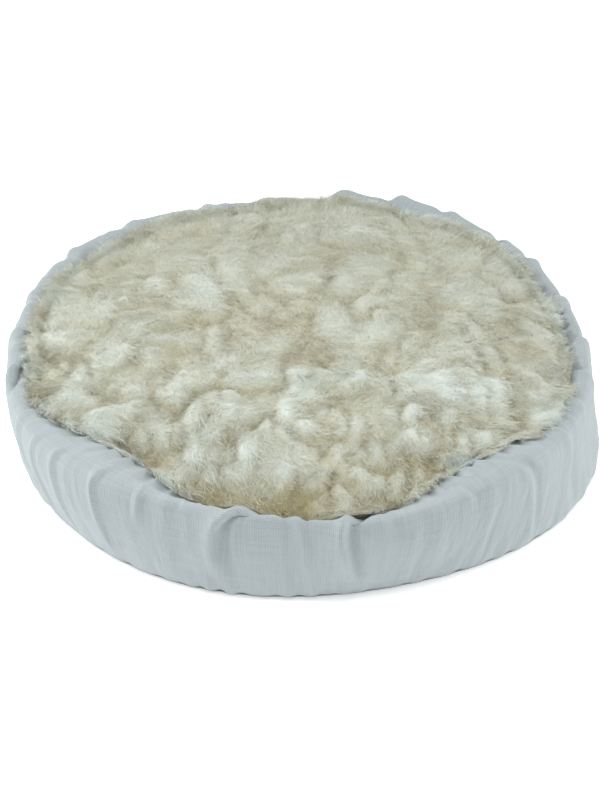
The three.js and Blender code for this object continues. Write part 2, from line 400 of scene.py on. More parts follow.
class Look:
    """A material under construction, with a Principled shader."""

    def __init__(self, name, roughness, **constants):
        self.material = bpy.data.materials.new(name)
        self.material.use_nodes = True
        self.tree = self.material.node_tree
        self.shader = self.tree.nodes["Principled BSDF"]
        self.set("Roughness", roughness)
        for socket, value in constants.items():
            self.set(socket.replace("_", " "), value)

    def node(self, kind, settings=None, **values):
        """Adds a node, sets its settings, then sets or links its input sockets."""
        node = self.tree.nodes.new("ShaderNode" + kind)
        for key, value in (settings or {}).items():
            setattr(node, key, value)
        for key, value in values.items():
            plug(self.tree, node.inputs[key.replace("_", " ")], value)
        return node

    def value(self, node, output=0):
        return Value(self.tree, node.outputs[output])

    def place(self):
        """The object's own coordinates."""
        return self.node("TexCoord").outputs["Object"]

    def axes(self, vector):
        """The three parts of a vector, as values."""
        split = self.node("SeparateXYZ", Vector=vector)
        return [self.value(split, k) for k in range(3)]

    def set(self, socket, value):
        plug(self.tree, self.shader.inputs[socket], value)

    def mixed_colour(self, share, first, second):
        """A colour between two colours, or between two linked colours."""
        mix = self.node("Mix", {"data_type": "RGBA"})
        plug(self.tree, mix.inputs["Factor"], share)
        for slot, colour in ((mix.inputs[6], first), (mix.inputs[7], second)):
            plug(self.tree, slot, colour if isinstance(colour, bpy.types.NodeSocket) else (*colour, 1))
        return mix.outputs[2]

    def noise(self, vector, scale, detail=3.0, roughness=0.5):
        node = self.node("TexNoise", Vector=vector, Scale=scale, Detail=detail, Roughness=roughness)
        return self.value(node)

    def stretched(self, vector, size):
        """A vector scaled by a size on each axis."""
        mapping = self.node("Mapping", Vector=vector, Scale=size)
        return mapping.outputs[0]

    def bumped(self, height, distance, strength=1.0, before=None):
        """A bump from a height, on top of another bump's normal where one is given."""
        bump_node = self.node("Bump", Height=height, Distance=distance, Strength=strength)
        if before is not None:
            plug(self.tree, bump_node.inputs["Normal"], before)
        return bump_node.outputs[0]


def shaded(colour, share):
    """A colour with each of its parts lowered to a share."""
    return [part * share for part in colour]


def dress(piece, look):
    piece.data.materials.clear()
    piece.data.materials.append(look.material)


def woven_look(name, colour, gap, distance):
    """Plain weave on the threads map: warp and weft lift in turn, and slubs make each thread uneven."""
    look = Look(name, 0.88, Sheen_Weight=0.15, Sheen_Roughness=0.5)
    threads = look.node("UVMap", {"uv_map": "threads"}).outputs[0]
    across, along = ((place * math.pi).sine() for place in look.axes(threads)[:2])
    over = across * along
    warp = across.size() * (over * 0.25 + 0.75)
    weft = along.size() * (0.75 - over * 0.25)
    relief = warp.at_least(weft)
    warp_slub = look.noise(look.stretched(threads, (0.9, 0.03, 1)), 1.0, 1.0)
    weft_slub = look.noise(look.stretched(threads, (0.022, 0.8, 1)), 1.0, 1.0)
    uneven = (warp_slub + weft_slub) * 0.5
    share = relief * 0.9 + uneven * 0.7 - 0.25
    cloudy = look.noise(look.place(), 14.0, 3.0)
    woven = look.mixed_colour(share, gap, colour)
    tone = look.mixed_colour(cloudy * 0.22, woven, shaded(colour, 0.82))
    look.set("Base Color", tone)
    fine = look.bumped(relief + uneven * 0.6, distance * MM)
    creased = look.noise(look.stretched(threads, (0.11, 0.018, 1)), 1.0, 4.0, 0.6)
    look.set("Normal", look.bumped(creased, 2.6 * MM, before=fine))
    return look


def plain_cloth_look(name, colour, thread, distance):
    """Plain weave in the object's own X, Y and Z, for flat or turned cloth that has no threads map."""
    look = Look(name, 0.9)
    place = look.place()
    x, y, z = (part * (math.pi / (thread * MM)) for part in look.axes(place))
    relief = (x.sine() * (y + z).sine()).size()
    cloudy = look.noise(place, 25.0, 3.0)
    tone = look.mixed_colour(relief * 0.6 + cloudy * 0.4, shaded(colour, 0.7), colour)
    look.set("Base Color", tone)
    look.set("Normal", look.bumped(relief, distance * MM))
    return look


def fibre_look(name, colour, scale=900.0):
    """Matted white fibre: fine noise over a cloudy one, for wadding and felted backing."""
    look = Look(name, 1.0)
    place = look.place()
    fine = look.noise(place, scale, 4.0, 0.7)
    cloudy = look.noise(place, 40.0, 2.0)
    look.set("Base Color", look.mixed_colour((fine + cloudy) * 0.5, shaded(colour, 0.8), colour))
    look.set("Normal", look.bumped(fine + cloudy * 2.0, 0.8 * MM))
    return look


def thread_look(name, colour, twists=2600.0):
    """Twisted thread or braid: a fine slanting ripple."""
    look = Look(name, 0.6, Sheen_Weight=0.3)
    x, y, z = look.axes(look.place())
    slant = (x + y + z) * twists
    ripple = slant.sine() * 0.5 + 0.5
    look.set("Base Color", look.mixed_colour(ripple, shaded(colour, 0.75), colour))
    look.set("Normal", look.bumped(ripple, 0.1 * MM))
    return look


def nylon_look(name, colour):
    """Satin nylon with a faint unevenness."""
    look = Look(name, 0.42, Coat_Weight=0.1)
    uneven = look.noise(look.place(), 400.0, 2.0)
    look.set("Base Color", look.mixed_colour(uneven, shaded(colour, 0.9), colour))
    return look


def metal_look(name, colour):
    """Tumbled die-cast metal with fine scuffs."""
    look = Look(name, 0.35, Metallic=1.0)
    scuffs = look.noise(look.place(), 1500.0, 3.0)
    look.set("Base Color", look.mixed_colour(scuffs, shaded(colour, 0.8), colour))
    look.set("Roughness", scuffs * 0.3 + 0.25)
    return look


# ------------------------------------------------------------------ rim shape

FINE_PLACES = 800
FINE_ROWS = 61
CREST_SHARE = 0.62


class Fold:
    """One fold of the rim cloth, up the wall: a ridge with a valley on its right.

    top and bottom are its angles in degrees at the crest and at the base seam, and bow is how far its
    middle stands to one side. lift and drop are the ridge's height and the valley's depth, width the
    ridge's half width and lean how far the ridge hangs over the valley, in mm. low and high are where it
    fades, as shares of the way from the base seam to the hem.
    """

    def __init__(self, top, bottom, lift, drop, width, bow=0.0, lean=0.0, low=0.0, high=0.8):
        self.top, self.bottom, self.bow = top, bottom, bow
        self.lift, self.drop, self.width, self.lean = lift, drop, width, lean
        self.low, self.high = low, high

    def push(self, angle, share, radius):
        """How far it moves the cloth outwards and sideways at an angle and a share of the section."""
        up = np.clip(share / CREST_SHARE, 0, 1.3)
        centre = self.bottom + (self.top - self.bottom) * up + self.bow * 4 * up * (1 - up)
        x = turn_from(angle, centre) * radius / self.width
        inside = smooth(self.low - 0.02, self.low + 0.2, share)
        inside = inside * (1 - smooth(self.high - 0.05, self.high + 0.15, share))
        ridge = 1 / (1 + (1.5 * x) ** 2) ** 1.5
        valley = np.exp(-((x - 1.1) / 0.55) ** 2)
        outwards = self.lift * ridge - self.drop * valley
        sideways = self.lean * np.exp(-((x - 0.3) / 0.9) ** 2)
        return outwards * inside, sideways * inside


# Each row: angle at the crest and at the base, then lift, drop and width.
FRONT_FOLDS = [
    Fold(-13.0, -15.0, 4.4, 5.4, 9.0, bow=-3.0, lean=1.5, low=0.06, high=0.74),
    Fold(-11.0, -11.5, 1.4, 1.8, 5, bow=-1.5, low=0.2, high=0.66),
    Fold(7.0, 11.5, 4.6, 5.6, 8.5, bow=-2.4, lean=1.5, low=0.08, high=0.76),
    Fold(-5.0, -3.0, 0.8, 1.2, 6, high=0.7),
    Fold(-1.0, 1.5, 1.0, 1.2, 6, high=0.7),
    Fold(13.5, 15.5, 0.8, 0.9, 7, low=0.3, high=0.7),
    Fold(19.0, 20.0, 1.2, 1.2, 8, high=0.4),
    Fold(24.0, 25.0, 1.2, 1.0, 8, high=0.35),
    Fold(29.5, 31.5, 2.2, 2.4, 6, low=0.42, high=0.9),
    Fold(35.0, 34.5, 1.0, 1.2, 6, high=0.35),
    Fold(41.0, 47.5, 1.8, 2.2, 8, high=0.7),
]
LEFT_FOLDS = [
    Fold(-25.0, -25.5, 1.2, 1.0, 8, high=0.6),
    Fold(-30.0, -33.5, 2.6, 0.9, 4.5, bow=1.2, low=0.25, high=0.62),
    Fold(-38.5, -38.0, 2.8, 0.8, 4.5, bow=-1.0, high=0.66),
    Fold(-48.5, -50.0, 2.2, 0.9, 5, high=0.6),
    Fold(-54.5, -57.0, 2.0, 0.7, 5, high=0.56),
    Fold(-63.0, -61.0, 1.2, 1.2, 9, high=0.6),
    Fold(-77.0, -70.0, 5.5, 8.0, 11, bow=1.5, lean=-3.0, low=0.45, high=0.98),
    Fold(-92.0, -88.0, 3.0, 3.0, 10, low=0.1, high=0.9),
]
RIGHT_FOLDS = [
    Fold(56.0, 58.0, 1.4, 1.4, 9, high=0.6),
    Fold(66.0, 65.0, 2.0, 2.4, 8, low=0.35, high=0.9),
    Fold(76.0, 74.0, 2.4, 2.8, 9, low=0.3, high=0.95),
    Fold(88.0, 90.0, 2.2, 2.6, 10, low=0.1, high=0.9),
    Fold(104.0, 101.0, 2.0, 2.0, 9, high=0.85),
]
BACK_FOLDS = [
    Fold(119.0, 121.0, 2.8, 2.5, 13, high=0.95),
    Fold(130.0, 132.0, 1.0, 3.6, 12, high=0.95),
    Fold(146.0, 145.0, 2.0, 2.5, 11, high=0.9),
    Fold(158.0, 158.5, 3.0, 3.5, 12, low=0.2, high=0.98),
    Fold(170.5, 171.0, 3.0, 4.0, 18, low=0.2, high=0.98),
    Fold(-172.0, -170.0, 1.6, 1.5, 14, high=0.9),
    Fold(-158.0, -160.0, 1.8, 2.2, 10, high=0.85),
    Fold(-141.0, -139.0, 2.2, 1.8, 12, high=0.9),
    Fold(-124.0, -126.0, 2.6, 2.4, 12, high=0.9),
    Fold(-107.0, -104.0, 2.0, 2.6, 10, low=0.1, high=0.9),
]
ALL_FOLDS = FRONT_FOLDS + LEFT_FOLDS + RIGHT_FOLDS + BACK_FOLDS


def crest_radius(angle, sizes):
    """The slumped rim is not quite round: its mean radius plus five slow waves."""
    waves = (wave(angle, 1, 4.7, -139) + wave(angle, 2, 1.7, -2) + wave(angle, 3, 4.0, 40)
             + wave(angle, 4, 5.2, -40) + wave(angle, 5, 2.9, 14))
    return sizes.crest_radius + waves - 2.0 + bump(angle, 8, 9) * 3 - bump(angle, -2, 7) * 3


def base_radius(angle, sizes):
    """The base seam stands further out on the right than on the left, in four slow waves."""
    waves = (wave(angle, 1, 4.8, 151) + wave(angle, 2, 8.3, 83) + wave(angle, 3, 4.1, -56)
             + wave(angle, 4, 3.9, -15))
    return sizes.base_radius + waves - 1.0


def crest_height(angle, sizes):
    """The crest dips in front, under the lip, stands up beside that, and is scalloped behind."""
    dips = bump(angle, -2, 16) * 1.5 + bump(angle, -38, 12) * 2.0 + bump(angle, 30, 12) * 1.5
    scallops = (bump(angle, 171, 5) * 3.0 + bump(angle, 158, 4) * 2.0 + bump(angle, 120, 7) * 2.0
                - bump(angle, 179, 4) * 3.0 - bump(angle, 164.5, 3) * 2.0 - bump(angle, 138, 8) * 4)
    corners = bump(angle, -43, 15) * 7.0 + bump(angle, 37, 13) * 6.0
    slow = wave(angle, 2, 1.5, -80) + bump(angle, 180, 75) * 3.0
    return sizes.height - 2.0 - dips + corners + scallops + slow


def hem_line(angle, sizes):
    """Radius and height of the hem: highest at the plump front corners, and low in front."""
    front = bump(angle, -3, 17)
    corners = bump(angle, -41, 15) * 1.2 + bump(angle, 37, 13)
    radius = sizes.hem_radius + wave(angle, 2, 1.5, 90) + wave(angle, 5, 0.8, 20) - 3.0 * corners
    height = sizes.hem_height + 3.5 - 9.0 * front + wave(angle, 3, 1.5, 60) + wave(angle, 7, 0.8, 10)
    height = height + 8.0 * corners
    return radius, height


def section_controls(angle, sizes):
    """Control points of the rim's section at each angle, from the base seam over the crest to the hem.

    Each is a radius and a height: blends of the base's, the crest's and the hem's.
    """
    base, crest = base_radius(angle, sizes), crest_radius(angle, sizes)
    top = crest_height(angle, sizes)
    hem_r, hem_z = hem_line(angle, sizes)
    front = bump(angle, -3, 19)
    width = crest - hem_r
    points = [
        (base - 1.0, 1.6 + 0 * base),
        (base + 4.0, 8.0 + 0 * base),
        (base * 0.62 + crest * 0.38 + 2.5, 0.36 * top),
        (base * 0.2 + crest * 0.8 + 2.0, 0.68 * top),
        (crest + 1.5, 0.95 * top),
        (crest - width * (0.08 - 0.05 * front), 1.06 * top),
        (crest - width * (0.42 - 0.18 * front), 1.06 * top),
        (hem_r + width * (0.48 + 0.20 * front), (hem_z + 9.0) * (1 - front) + 0.86 * top * front),
        (hem_r + width * (0.18 + 0.12 * front), hem_z + 4.0 - 1.0 * front),
        (hem_r, hem_z),
    ]
    return np.array([np.stack(np.broadcast_arrays(r, z), axis=-1) for r, z in points])


def gathers(angle, share, sizes):
    """Pleats at the hem and puckers at the base seam, in mm outwards: cosines of a drifting phase."""
    drift = 1.6 * np.sin(3 * angle + 0.7) + 1.1 * np.sin(7 * angle + 2.1) + 0.5 * np.sin(17 * angle)
    uneven = 0.65 + 0.35 * np.sin(11 * angle + 1.3) * np.sin(5 * angle)
    pleat = np.cos(sizes.pleats * angle + drift) + 0.4 * np.cos(1.7 * sizes.pleats * angle + 3 * drift)
    at_hem = smooth(0.58, 0.95, share) ** 1.3
    pucker = np.cos(58 * angle + 2 * drift) + 0.5 * np.cos(97 * angle - drift)
    at_seam = 1 - smooth(0.0, 0.22, share)
    return 2.3 * pleat * uneven * at_hem + 0.9 * pucker * uneven * at_seam


def creases(angle, share):
    """Fine upright creases, in mm: ridges of stretched noise, in patches and strongest near the hem."""
    degrees = np.degrees(angle) % 360
    slanted = degrees + 4 * value_noise(degrees / 14, share * 1.4 + 3, 61)
    soft = value_noise(slanted / 7.2, share * 1.3, 4)
    sharp = 1 - 2.4 * np.abs(value_noise(slanted / 4.0, share * 1.7 + 9, 5))
    patches = smooth(-0.5, 0.6, value_noise(degrees / 20, share * 1.1 + 5, 6))
    near_hem = 0.5 + smooth(0.45, 0.85, share) * 0.9
    fade = smooth(0.02, 0.25, share) * (1 - smooth(0.85, 1, share))
    return (0.9 * soft + 1.2 * sharp.clip(-0.6, 1) * patches * near_hem) * fade


def wall_surface(angle, rows, sizes):
    """The rim cloth's outer face: a B-spline section at each angle, moved by the folds and gathers."""
    controls = section_controls(angle, sizes)
    weights = spline_weights(len(controls), rows)
    section = np.einsum("vk,kac->vac", weights, controls)
    share = np.linspace(0, 1, rows)[:, None]
    plain = place_round(angle[None, :], section[..., 0], section[..., 1])
    outwards = gathers(angle[None, :], share, sizes)
    sideways = np.zeros_like(outwards)
    for fold in ALL_FOLDS:
        out, side = fold.push(angle[None, :], share, section[..., 0])
        outwards += out
        sideways += side
    outwards = outwards + creases(angle[None, :], share)
    facing = normals_of(plain)
    if (facing[rows // 3] * plain[rows // 3])[:, :2].sum() < 0:
        facing = -facing
    along = np.stack([np.cos(angle), np.sin(angle), 0 * angle], axis=-1)[None]
    return plain + facing * outwards[..., None] + along * sideways[..., None]


def doubled(grid, axis, wrap):
    """Doubles the points along an axis: each new one is 9/16 of its neighbours less 1/16 of the next."""
    grid = np.moveaxis(grid, axis, 0)
    if wrap:
        far = [np.roll(grid, k, axis=0) for k in (1, 0, -1, -2)]
        between = (9 * (far[1] + far[2]) - far[0] - far[3]) / 16
        full = np.stack([grid, between], axis=1).reshape(-1, *grid.shape[1:])
    else:
        padded = np.concatenate([2 * grid[:1] - grid[1:2], grid, 2 * grid[-1:] - grid[-2:-1]])
        between = (9 * (padded[1:-2] + padded[2:-1]) - padded[:-3] - padded[3:]) / 16
        full = np.empty((2 * len(grid) - 1, *grid.shape[1:]))
        full[::2], full[1::2] = grid, between
    return np.moveaxis(full, 0, axis)


def settle_cloth(rows, slack, pressure=1.3, frames=26, cap=6.0):
    """Lets the stuffed cloth settle by cloth simulation, and returns how far each point moved, in mm.

    The first and last rows are pinned. slack is, for each row, how much longer the cloth is cut round
    the bed than the line that it is sewn to, so that it buckles. The way moved is capped.
    """
    count, around = rows.shape[:2]
    j, i = np.arange(count - 1)[:, None], np.arange(around)[None, :]
    faces = ring_faces(i, (i + 1) % around, j * around, (j + 1) * around)
    mesh = mesh_from("settling", rows.reshape(-1, 3), faces.reshape(-1, 4))
    cloth_piece = new_object("settling", mesh)
    pins = cloth_piece.vertex_groups.new(name="pins")
    pins.add([*range(around), *range(around * (count - 1), around * count)], 1.0, "REPLACE")
    cloth_piece.shape_key_add(name="sewn")
    cut = cloth_piece.shape_key_add(name="cut")
    longer = rows * [1, 1, 1]
    longer[..., :2] *= (1 + slack)[:, None, None]
    cut.data.foreach_set("co", (longer.reshape(-1, 3) * MM).astype(np.float32).ravel())
    cloth = cloth_piece.modifiers.new("Cloth", "CLOTH")
    settings = cloth.settings
    settings.quality = 5
    settings.mass = 0.25
    settings.tension_stiffness = settings.compression_stiffness = 12
    settings.shear_stiffness = 6
    settings.bending_stiffness = 0.08
    settings.use_pressure = True
    settings.uniform_pressure_force = pressure
    settings.vertex_group_mass = "pins"
    settings.rest_shape_key = cut
    settings.effector_weights.gravity = 0.0
    cloth.point_cache.frame_start, cloth.point_cache.frame_end = 1, frames
    scene = bpy.context.scene
    for number in range(1, frames + 1):
        scene.frame_set(number)
    settled = cloth_piece.evaluated_get(bpy.context.evaluated_depsgraph_get()).data
    places = np.empty(len(mesh.vertices) * 3, dtype=np.float32)
    settled.vertices.foreach_get("co", places)
    moved = places.reshape(rows.shape) / MM - rows
    bpy.data.objects.remove(cloth_piece)
    scene.frame_set(1)
    length = np.maximum(np.linalg.norm(moved, axis=2, keepdims=True), 1e-6)
    return moved * np.minimum(1, cap / length)


def settled_wall(sizes):
    """The rim cloth's outer face at full detail, with the simulated settling added to it."""
    fine = wall_surface(ring_angles(FINE_PLACES), FINE_ROWS, sizes)
    rows = (FINE_ROWS + 1) // 2
    coarse = wall_surface(ring_angles(FINE_PLACES // 2), rows, sizes)
    share = np.linspace(0, 1, rows)
    slack = 0.025 + 0.10 * smooth(0.55, 1, share) + 0.05 * (1 - smooth(0, 0.35, share))
    moved = settle_cloth(coarse, slack)
    return fine + doubled(doubled(moved, 0, False), 1, True)


# ------------------------------------------------------------------ operators

made = {}


class PieceOperator(bpy.types.Operator):
    """Shared settings of the bed's operators."""

    bl_options = {"REGISTER"}

    def finish_piece(self, piece, look, body, slot, *nodes):
        """Dresses a piece, lets it ride on a body and hides the frame nodes that it stands for."""
        dress(piece, look)
        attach(piece, body)
        if nodes:
            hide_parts(*nodes)
        return piece


class BED_OT_rim(PieceOperator):
    """Sew the rim: its outer cloth, its lining and the padding between them"""

    bl_idname = "bed.rim"
    bl_label = "Sew rim"

    def execute(self, context):
        sizes, colours = context.scene.rim_sizes, context.scene.bed_colours
        outside = settled_wall(sizes)
        made["wall"] = outside
        woven = woven_look("rim_weave", colours.cloth, colours.cloth_gap, 0.22)
        made["weave"] = woven
        shell = folded_shell(outside, sizes.cloth_thickness)
        cover = ring_surface("rim_cloth", shell, sizes.thread_pitch, loop=True)
        self.finish_piece(cover, woven, "bed_shell", "rim_cloth", "rim_cover")

        angle = ring_angles(FINE_PLACES // 2)
        inner = self.lining_rows(angle, sizes)
        shell = folded_shell(inner, sizes.cloth_thickness)
        lining = ring_surface("rim_lining_cloth", shell, 1.0, loop=True)
        soft_white = woven_look("lining_weave", colours.lining, shaded(colours.lining, 0.7), 0.12)
        made["lining"] = soft_white
        self.finish_piece(lining, soft_white, "bed_shell", "lining_cloth", "rim_lining")

        blurred = softened(outside, 5)
        hem_r, _ = hem_line(ring_angles(FINE_PLACES), sizes)
        inset = 5.0 * ((crest_radius(ring_angles(FINE_PLACES), sizes) - hem_r) / 36).clip(0.5, 1)
        under_cover = (blurred - normals_of(blurred) * inset[None, :, None])[3:-4:3, ::2]
        behind_lining = inner[::3]
        away = behind_lining * [1, 1, 0] / np.linalg.norm(behind_lining[..., :2], axis=2, keepdims=True)
        padding_rows = np.concatenate([under_cover, (behind_lining + away * 1.8)[1:-1]])
        padding = ring_surface("rim_padding", padding_rows, 2.0, loop=True)
        wadding = fibre_look("wadding_fibre", colours.wadding)
        made["wadding"] = wadding
        self.finish_piece(padding, wadding, "bed_shell", "wadding", "rim_filling")
        return {"FINISHED"}

    def lining_rows(self, angle, sizes):
        """The inner wall, from the hem down to the floor: a leaning, bowed line with upright pleats."""
        hem_r, hem_z = hem_line(angle, sizes)
        down = np.linspace(0, 1, 16)[:, None]
        foot_r, foot_z = float(FLOOR_HIGH[0]) + 1.0, float(PANEL_HIGH[2]) + 1.2
        pleat = np.cos(sizes.pleats / 2 * angle + 2 * np.sin(3 * angle))[None, :]
        bow = 1.4 * np.sin(math.pi * down)
        radius = (hem_r + 0.9 * pleat) * (1 - down) + foot_r * down + bow
        height = (hem_z - 6.5) * (1 - down) + foot_z * down
        return place_round(angle[None, :], radius, height)


class BED_OT_hem(PieceOperator):
    """Gather the hem: the turned casing, the elastic inside it and its stitches"""

    bl_idname = "bed.hem"
    bl_label = "Gather hem"

    def execute(self, context):
        sizes, colours = context.scene.rim_sizes, context.scene.bed_colours
        angle = ring_angles(FINE_PLACES)
        casing_rows = self.tube(angle, sizes, wide=2.3, tall=4.6, sides=14, pleated=1.0)
        casing = ring_surface("hem_casing_cloth", casing_rows, sizes.thread_pitch, loop=True)
        self.finish_piece(casing, made["weave"], "bed_shell", "rim_cloth", "hem_casing")

        elastic_rows = self.tube(angle[::2], sizes, wide=0.6, tall=2.8, sides=8, pleated=0.0)
        elastic = ring_surface("hem_elastic", elastic_rows, 1.0, loop=True)
        braid = thread_look("braided_elastic", colours.elastic, 1800.0)
        self.finish_piece(elastic, braid, "bed_shell", "elastic", "rim_elastic")

        stitch = thread_look("sewing_thread", colours.thread)
        made["stitch"] = stitch
        hem_r, hem_z = hem_line(angle, sizes)
        places = ring_angles(380)
        radius = np.interp(places, angle, hem_r, period=TURN) - 2.4
        height = np.interp(places, angle, hem_z, period=TURN) - 7.0
        row = stitch_ring("hem_stitches", places, radius, height)
        self.finish_piece(row, stitch, "bed_shell", "sewing_thread", "hem_stitching")
        return {"FINISHED"}

    def tube(self, angle, sizes, wide, tall, sides, pleated):
        """A flattened tube along the hem: an oval carried round, pushed in and out by the pleats."""
        hem_r, hem_z = hem_line(angle, sizes)
        middle_r, middle_z = hem_r - 1.6, hem_z - 2.6
        pleat = gathers(angle, np.ones_like(angle), sizes) * pleated
        turn = (np.arange(sides) * TURN / sides)[:, None]
        radius = middle_r + wide * np.cos(turn) + 0.7 * pleat * (0.6 + 0.4 * np.sin(turn))
        height = middle_z + tall * np.sin(turn) + 0.5 * pleat * np.sin(turn)
        return place_round(angle[None, :], radius, height)


def stitch_ring(name, places, radius, height, lift=0.45):
    """A ring of separate stitches: short bowed strands laid end to end along a line round the bed."""
    t = np.linspace(-0.42, 0.42, 5)[None, :]
    angle = places[:, None] + t * TURN / len(places)
    bow = lift * np.cos(t * math.pi)
    paths = place_round(angle, radius[:, None] - bow, height[:, None])
    radii = np.broadcast_to(0.36 * (1 - (2 * np.abs(t)) ** 4 * 0.5), angle.shape)
    return strands(name, paths, radii, sides=4)[0]


class BED_OT_floor(PieceOperator):
    """Lay the floor: the base cloth with its seam, the wadding and the lining over it"""

    bl_idname = "bed.floor"
    bl_label = "Lay floor"

    def execute(self, context):
        sizes, colours = context.scene.rim_sizes, context.scene.bed_colours
        angle = ring_angles(FINE_PLACES // 2)
        edge = base_radius(angle, sizes) - 1.6 + 0.5 * gathers(angle, np.zeros_like(angle), sizes)
        base_weave = woven_look("base_weave", shaded(colours.cloth, 0.8), colours.cloth_gap, 0.25)
        self.disc("base_cloth", edge, (0.0, float(PANEL_HIGH[2])), 0.0, base_weave,
                  "base_cloth", "base_panel", 1.5, padded=False)
        pad_low, pad_high = box_mm("base_wadding")
        edge = np.full_like(angle, pad_high[0] - 0.5)
        self.disc("base_pad", edge, (pad_low[2], pad_high[2] - 0.4), 0.5,
                  made["wadding"], "wadding", "base_wadding", 2.0, padded=True)
        edge = np.full_like(angle, FLOOR_HIGH[0] - 0.3)
        self.disc("floor_cloth", edge, (FLOOR_LOW[2], FLOOR_HIGH[2] - 0.2), 0.5,
                  made["lining"], "lining_cloth", "floor_lining", 1.0, padded=False)

        seam = ring_angles(420)
        radius = np.interp(seam, angle, base_radius(angle, sizes)) - 3.4
        row = stitch_ring("base_seam_stitches", seam, radius, np.full_like(seam, 1.3), lift=0.0)
        self.finish_piece(row, made["stitch"], "bed_shell", "sewing_thread", "base_seam_thread")
        return {"FINISHED"}

    def disc(self, name, edge, faces, puff, look, slot, node, pitch, padded):
        """A flat round sheet: out along its lower face, round its edge and back along its upper face.

        faces is the two faces' heights. The upper one is softly uneven by puff, in mm, and the edge
        follows a radius at each angle.
        """
        low, high = faces
        out = np.sqrt(np.linspace(0, 1, 18))[:, None]
        angle = ring_angles(len(edge))
        lower = place_round(angle[None, :], edge * out, np.full_like(edge * out, low))
        radius = (edge - 0.2) * out[::-1]
        x, y = radius * np.sin(angle), radius * np.cos(angle)
        uneven = puff * (layered_noise(x / 35 + 9, y / 35 + 9, 31) - 1)
        upper = place_round(angle[None, :], radius, high + uneven)
        piece = ring_surface(name, np.concatenate([lower, upper]), pitch)
        self.finish_piece(piece, look, "bed_shell", slot, node)
        return piece


class BED_OT_cushion(PieceOperator):
    """Make the cushion's cover: its side wall, seam, zip and inner pad"""

    bl_idname = "bed.cushion"
    bl_label = "Make cushion"

    def execute(self, context):
        colours = context.scene.bed_colours
        angle = ring_angles(FINE_PLACES // 2)
        up = np.linspace(0, 1, 22)[:, None]
        low, high = WALL_LOW[2] - 0.2, WALL_HIGH[2] + 0.4
        pleat = np.cos(110 * angle + 2 * np.sin(4 * angle))[None, :]
        seams = np.exp(-(up / 0.16) ** 2) + np.exp(-((1 - up) / 0.16) ** 2)
        radius = WALL_HIGH[0] - 0.4 + 1.4 * np.sin(math.pi * up) + 0.35 * pleat * seams
        rows = place_round(angle[None, :], radius, low + (high - low) * up)
        wall = ring_surface("cushion_wall_cloth", folded_shell(rows, 0.6), 1.35, loop=True)
        self.finish_piece(wall, made["weave"], "cushion", "rim_cloth", "cushion_side_band")

        seam = ring_angles(360)
        radius = np.full_like(seam, WALL_HIGH[0] + 0.3)
        height = np.full_like(seam, high + 0.4)
        row = stitch_ring("cushion_seam_stitches", seam, radius, height, lift=0.2)
        self.finish_piece(row, made["stitch"], "cushion", "sewing_thread", "cushion_seam_thread")
        self.dress_nodes(colours)
        for side, label in ((-1, "front"), (1, "back")):
            self.make_teeth(side, label, colours)
        return {"FINISHED"}

    def dress_nodes(self, colours):
        """Gives the frame's own cloth, filling, tape and metal pieces their finishes."""
        under = plain_cloth_look("underside_cloth", colours.lining, 1.1, 0.1)
        case = plain_cloth_look("insert_case_cloth", colours.wadding, 0.9, 0.05)
        knit = plain_cloth_look("knit_backing", colours.wool_root, 1.8, 0.3)
        tape = plain_cloth_look("zip_tape_cloth", colours.nylon, 0.6, 0.05)
        metal = metal_look("zip_metal", colours.metal)
        finishes = {
            "underside_front": under, "underside_back": under,
            "insert_case_lower": case, "insert_case_upper": case, "insert_filling": made["wadding"],
            "fleece_backing": knit, "zip_tape_front": tape, "zip_tape_back": tape,
            "zip_stop_closed": metal, "zip_stop_open": metal, "zip_slider": metal,
        }
        for node, look in finishes.items():
            dress(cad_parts[node], look)

    def make_teeth(self, side, label, colours):
        """One half of the coil zip: a row of small loops bowed towards the middle."""
        pitch, length = 1.5, COIL_HIGH[0] - COIL_LOW[0]
        count = int(length / pitch)
        x = (COIL_LOW[0] + pitch / 2 + pitch * np.arange(count))[:, None]
        t = np.linspace(0, 1, 6)[None, :]
        near, far = COIL_LOW[1] + 0.25, COIL_HIGH[1]
        y = side * (far - (far - near) * np.sin(math.pi * t))
        z = COIL_LOW[2] + 0.25 + (COIL_HIGH[2] - COIL_LOW[2] - 0.5) * t
        paths = np.stack(np.broadcast_arrays(x + 0.3 * np.sin(TURN * t), y, z), axis=-1)
        radii = np.full(paths.shape[:2], 0.26)
        teeth = strands(f"zip_teeth_{label}", paths, radii, sides=5)[0]
        look = made.setdefault("nylon", nylon_look("zip_nylon", colours.nylon))
        self.finish_piece(teeth, look, "cushion", "zip_coil", f"zip_coil_{label}")


# ------------------------------------------------------------------ fleece

GOLDEN_TURN = math.pi * (3 - math.sqrt(5))
WOOL_TONES = 6
WOOL_PIECES = 6
STRAND_RINGS = 4


def backing_height(radius, sizes):
    """Height of the knit backing under the wool: a dome, full in the middle and round at its edge."""
    share = np.clip(radius / (sizes.radius + 1), 0, 1)
    return sizes.edge_height + sizes.crown * (1 - share ** 2.4) ** 0.6


def fleece_reach(angle):
    """How far out the wool spills over the rim, in mm: least where the rim's front corners stand up."""
    dents = (bump(angle, -41, 15) * 28 + bump(angle, -27, 7) * 6 + bump(angle, 38, 13) * 28
             + bump(angle, 22, 7) * 4 + bump(angle, -3, 16) * 2.5)
    spill = 236.0 - dents - bump(angle, -79, 7) * 7 + wave(angle, 9, 1.2, 10) + wave(angle, 14, 0.8, 70)
    margin = 13.0 - 5.0 * bump(angle, 14, 8) - 2.0 * bump(angle, -20, 6)
    return np.minimum(spill, crest_radius(angle, bpy.context.scene.rim_sizes) - margin)


